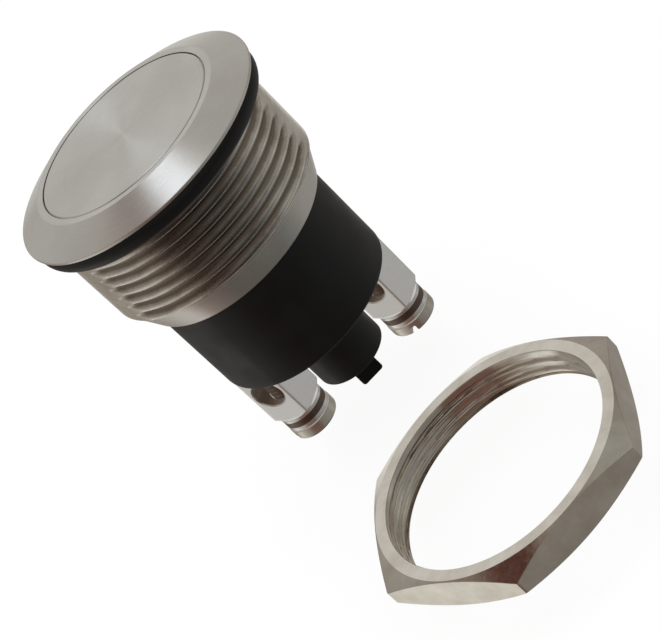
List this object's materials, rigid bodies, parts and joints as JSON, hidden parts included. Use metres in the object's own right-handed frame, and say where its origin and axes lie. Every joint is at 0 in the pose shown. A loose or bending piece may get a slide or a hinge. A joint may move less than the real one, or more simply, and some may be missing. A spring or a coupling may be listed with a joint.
{
  "type": "anti vandal push button",
  "caption": "Round metal push button switch with a flat button, a threaded barrel, screw terminals behind and its loose hexagon panel nut.",
  "frame": {"origin": "on the switch's axis at the upper end of the thread, where the panel's front face meets the sealing ring", "axes": "+Z out of the button's face along the axis, +X from the left terminal to the right one, -Y towards the loose nut"},
  "size_m": [0.0276, 0.0527, 0.0326],
  "materials": {
    "stainless": "turned stainless steel, satin",
    "button_steel": "turned stainless steel, fine concentric lines",
    "rubber": "black nitrile rubber",
    "spring_steel": "spring steel",
    "black_plastic": "moulded black nylon, matte",
    "natural_plastic": "moulded natural acetal",
    "brass": "stamped brass",
    "silver": "silver contact rivet",
    "nickel_nut": "bright nickel plate on steel",
    "nickel_post": "satin nickel plate on brass",
    "screw_metal": "nickel plate on steel"
  },
  "bodies": {
    "switch_body": {"bezel_body": "stainless", "panel_seal": "rubber", "terminal_housing": "black_plastic", "chamber_cover": "black_plastic", "return_spring": "spring_steel", "contact_plate_left": "brass", "contact_plate_right": "brass", "fixed_tip_left": "silver", "fixed_tip_right": "silver", "terminal_post_left": "nickel_post", "terminal_post_right": "nickel_post", "panel_nut": "nickel_nut"},
    "button": {"button": "button_steel", "button_seal": "rubber", "button_clip": "spring_steel", "plunger": "natural_plastic", "bridge_retainer": "spring_steel", "contact_spring": "spring_steel"},
    "bridge": {"contact_bridge": "brass", "moving_tip_left": "silver", "moving_tip_right": "silver"},
    "screw_left": {"terminal_screw_left": "screw_metal"},
    "screw_right": {"terminal_screw_right": "screw_metal"}
  },
  "joints": [
    {"name": "button_press", "type": "slide", "parent": "switch_body", "child": "button", "axis": [0, 0, -1], "range_m": [0, 0.0015], "stiffness_N_per_m": 700, "springref_m": -0.0025, "deforming": ["return_spring"]},
    {"name": "bridge_overtravel", "type": "slide", "parent": "button", "child": "bridge", "axis": [0, 0, 1], "range_m": [0, 0.0007], "deforming": ["contact_spring"]},
    {"name": "screw_left_back_off", "type": "slide", "parent": "switch_body", "child": "screw_left", "axis": [0, 0, -1], "range_m": [0, 0.003]},
    {"name": "screw_right_back_off", "type": "slide", "parent": "switch_body", "child": "screw_right", "axis": [0, 0, -1], "range_m": [0, 0.003]}
  ],
  "couplings": [
    {"joint": "bridge_overtravel", "follows": "button_press", "ratio": 0.4666}
  ]
}
